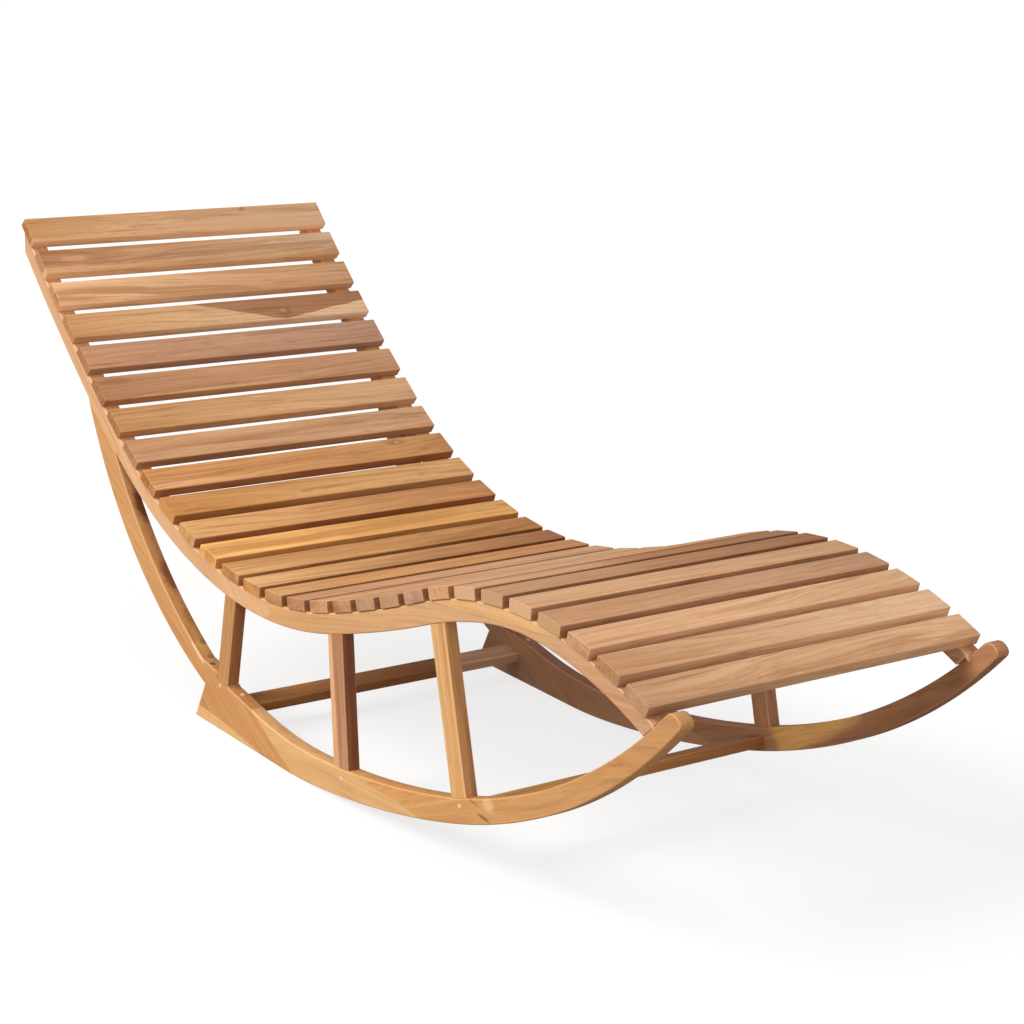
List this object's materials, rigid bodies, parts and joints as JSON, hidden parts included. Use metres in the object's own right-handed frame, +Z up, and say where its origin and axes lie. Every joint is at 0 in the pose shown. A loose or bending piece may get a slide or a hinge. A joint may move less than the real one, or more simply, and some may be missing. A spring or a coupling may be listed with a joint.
{
  "type": "rocking chaise lounge",
  "caption": "Wooden rocking chaise lounge: a slatted, S-curved seat on two side frames with curved runners, joined by two stretchers.",
  "frame": {"origin": "on the floor, under the middle of the lounger's length and width, in its balanced rest", "axes": "+X along the length, from the head end to the foot end; +Y to the sitter's left; +Z up"},
  "size_m": [1.807, 0.6, 0.7144],
  "materials": {
    "slat_wood": "oiled teak slats, light tan to pinkish brown",
    "rail_wood": "oiled teak rails, orange tan",
    "runner_wood": "oiled teak runners and arms, golden tan",
    "pale_wood": "paler oiled teak of the knee crests and heel wedges",
    "post_wood": "oiled teak posts, pinkish tan",
    "stretcher_wood": "oiled teak stretchers, darker brown",
    "peg_wood": "pale end-grain pegs"
  },
  "bodies": {
    "root": {"slat_01": "slat_wood", "slat_02": "slat_wood", "slat_03": "slat_wood", "slat_04": "slat_wood", "slat_05": "slat_wood", "slat_06": "slat_wood", "slat_07": "slat_wood", "slat_08": "slat_wood", "slat_09": "slat_wood", "slat_10": "slat_wood", "slat_11": "slat_wood", "slat_12": "slat_wood", "slat_13": "slat_wood", "slat_14": "slat_wood", "slat_15": "slat_wood", "slat_16": "slat_wood", "slat_17": "slat_wood", "slat_18": "slat_wood", "slat_19": "slat_wood", "slat_20": "slat_wood", "slat_21": "slat_wood", "slat_22": "slat_wood", "slat_23": "slat_wood", "slat_24": "slat_wood", "slat_25": "slat_wood", "slat_26": "slat_wood", "slat_27": "slat_wood", "slat_28": "slat_wood", "slat_29": "slat_wood", "right_back_rail": "rail_wood", "right_seat_rail": "rail_wood", "right_knee_crest": "pale_wood", "right_rear_arm": "runner_wood", "right_heel_wedge": "pale_wood", "right_rear_runner": "runner_wood", "right_front_runner": "runner_wood", "right_rear_post": "post_wood", "right_middle_post": "post_wood", "right_front_post": "post_wood", "right_rear_post_peg": "peg_wood", "right_middle_post_peg": "peg_wood", "right_front_post_peg": "peg_wood", "left_back_rail": "rail_wood", "left_seat_rail": "rail_wood", "left_knee_crest": "pale_wood", "left_rear_arm": "runner_wood", "left_heel_wedge": "pale_wood", "left_rear_runner": "runner_wood", "left_front_runner": "runner_wood", "left_rear_post": "post_wood", "left_middle_post": "post_wood", "left_front_post": "post_wood", "left_rear_post_peg": "peg_wood", "left_middle_post_peg": "peg_wood", "left_front_post_peg": "peg_wood", "rear_stretcher": "stretcher_wood", "front_stretcher": "stretcher_wood"}
  },
  "joints": []
}
